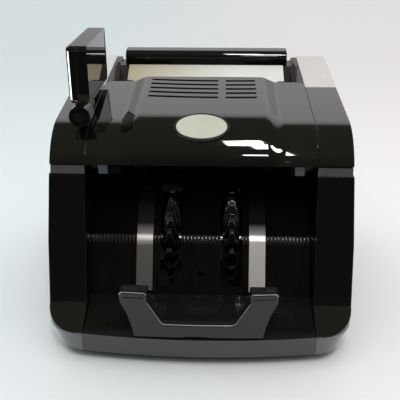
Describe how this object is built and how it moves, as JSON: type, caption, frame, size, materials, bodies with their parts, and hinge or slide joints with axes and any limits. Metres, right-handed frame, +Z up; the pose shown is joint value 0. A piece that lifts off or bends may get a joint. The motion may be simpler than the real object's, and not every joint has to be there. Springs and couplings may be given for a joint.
{
  "type": "banknote counter",
  "caption": "Desktop banknote counter: sloped rear hopper, glossy hood with vents, ribbed front stacker with finger wheels, tilting note stop and a tilting side display.",
  "frame": {"origin": "on the surface that the feet stand on, under the middle of the machine's bounding box", "axes": "+X to the operator's right, +Y from the stacker to the back, +Z up"},
  "size_m": [0.259, 0.28, 0.2394],
  "materials": {
    "gloss_black": "polished",
    "side_black": "polished",
    "tray_black": "glossy with fine ribs",
    "satin_black": "satin",
    "silver_plastic": "silver lacquer",
    "badge_silver": "bead blasted",
    "bright_steel": "brushed",
    "feed_steel": "fine brushed",
    "shaft_steel": "ground",
    "zinc_plate": "zinc",
    "pale_clip": "translucent",
    "white_plastic": "natural",
    "black_rubber": "moulded",
    "feed_rubber": "moulded",
    "roller_rubber": "ground",
    "window_black": "polished",
    "sensor_red": "clear dark red",
    "board_green": "lacquer",
    "core_steel": "varnished",
    "pulley_brass": "turned",
    "rocker_red": "polished"
  },
  "bodies": {
    "case": {"base_pan": "satin_black", "rubber_feet": "black_rubber", "case_screws": "shaft_steel", "left_side_case": "side_black", "right_side_case": "side_black", "left_upper_case": "gloss_black", "right_upper_case": "gloss_black", "left_rear_cover": "silver_plastic", "right_rear_cover": "silver_plastic", "rear_panel": "satin_black", "front_tray": "tray_black", "stacker_back_plate": "tray_black", "left_guide_strip": "bright_steel", "right_guide_strip": "bright_steel", "stack_sensor": "sensor_red", "stop_pins": "shaft_steel", "hood": "gloss_black", "badge_bezel": "satin_black", "badge_plate": "badge_silver", "hood_clips": "pale_clip", "hopper_tray": "satin_black", "feed_plate": "feed_steel", "hopper_bar": "gloss_black", "guide_rod": "shaft_steel", "display_bracket": "satin_black", "display_pin": "shaft_steel", "left_frame": "zinc_plate", "right_frame": "zinc_plate", "retard_rollers": "roller_rubber", "shaft_bearings": "white_plastic", "motor": "zinc_plate", "drive_belt": "black_rubber", "feed_belt": "black_rubber", "stacker_belt": "black_rubber", "main_board": "board_green", "transformer": "core_steel", "power_inlet": "satin_black", "power_switch": "satin_black"},
    "display": {"display_front_case": "gloss_black", "display_back_case": "gloss_black", "display_window": "window_black"},
    "stop": {"note_stop": "gloss_black"},
    "left_guide": {"left_note_guide": "satin_black"},
    "right_guide": {"right_note_guide": "satin_black"},
    "drive": {"drive_shaft": "shaft_steel", "drive_rollers": "roller_rubber", "drive_pulley": "satin_black", "encoder_disc": "satin_black"},
    "stacker": {"stacker_shaft": "shaft_steel", "left_stacker_wheel": "black_rubber", "right_stacker_wheel": "black_rubber", "stacker_pulley": "satin_black"},
    "feed": {"feed_shaft": "shaft_steel", "feed_rollers": "feed_rubber", "feed_pulley": "satin_black"},
    "pinch": {"pinch_shaft": "shaft_steel", "pinch_rollers": "white_plastic"},
    "rotor": {"motor_shaft": "shaft_steel", "motor_pulley": "pulley_brass"},
    "rocker": {"power_rocker": "rocker_red"}
  },
  "joints": [
    {"name": "display_tilt", "type": "hinge", "parent": "case", "child": "display", "pos_m": [-0.1012, -0.05, 0.185], "axis": [0, 1, 0], "range_deg": [-18, 35]},
    {"name": "stop_tilt", "type": "hinge", "parent": "case", "child": "stop", "pos_m": [0, -0.1338, 0.024], "axis": [1, 0, 0], "range_deg": [0, 20], "stiffness_Nm_per_rad": 0.06, "springref_deg": -20.05},
    {"name": "drive_spin", "type": "hinge", "parent": "case", "child": "drive", "pos_m": [0, 0.002, 0.12], "axis": [1, 0, 0], "continuous": true},
    {"name": "stacker_spin", "type": "hinge", "parent": "case", "child": "stacker", "pos_m": [0, -0.044, 0.0645], "axis": [1, 0, 0], "continuous": true},
    {"name": "feed_spin", "type": "hinge", "parent": "case", "child": "feed", "pos_m": [0, 0.03011, 0.13855], "axis": [1, 0, 0], "continuous": true},
    {"name": "pinch_spin", "type": "hinge", "parent": "case", "child": "pinch", "pos_m": [0, -0.01384, 0.13584], "axis": [1, 0, 0], "continuous": true},
    {"name": "motor_spin", "type": "hinge", "parent": "case", "child": "rotor", "pos_m": [0, 0.055, 0.06], "axis": [1, 0, 0], "continuous": true},
    {"name": "right_guide_slide", "type": "slide", "parent": "case", "child": "right_guide", "axis": [-1, 0, 0], "range_m": [0, 0.03]},
    {"name": "left_guide_slide", "type": "slide", "parent": "case", "child": "left_guide", "axis": [1, 0, 0], "range_m": [0, 0.03]},
    {"name": "power_tip", "type": "hinge", "parent": "case", "child": "rocker", "pos_m": [0.025, 0.136, 0.032], "axis": [1, 0, 0], "range_deg": [-17, 0]}
  ],
  "couplings": [
    {"joint": "stacker_spin", "follows": "drive_spin", "ratio": 0.33333},
    {"joint": "feed_spin", "follows": "drive_spin", "ratio": 0.75},
    {"joint": "pinch_spin", "follows": "drive_spin", "ratio": -1.75},
    {"joint": "motor_spin", "follows": "drive_spin", "ratio": 1.75},
    {"joint": "left_guide_slide", "follows": "right_guide_slide", "ratio": 1}
  ]
}
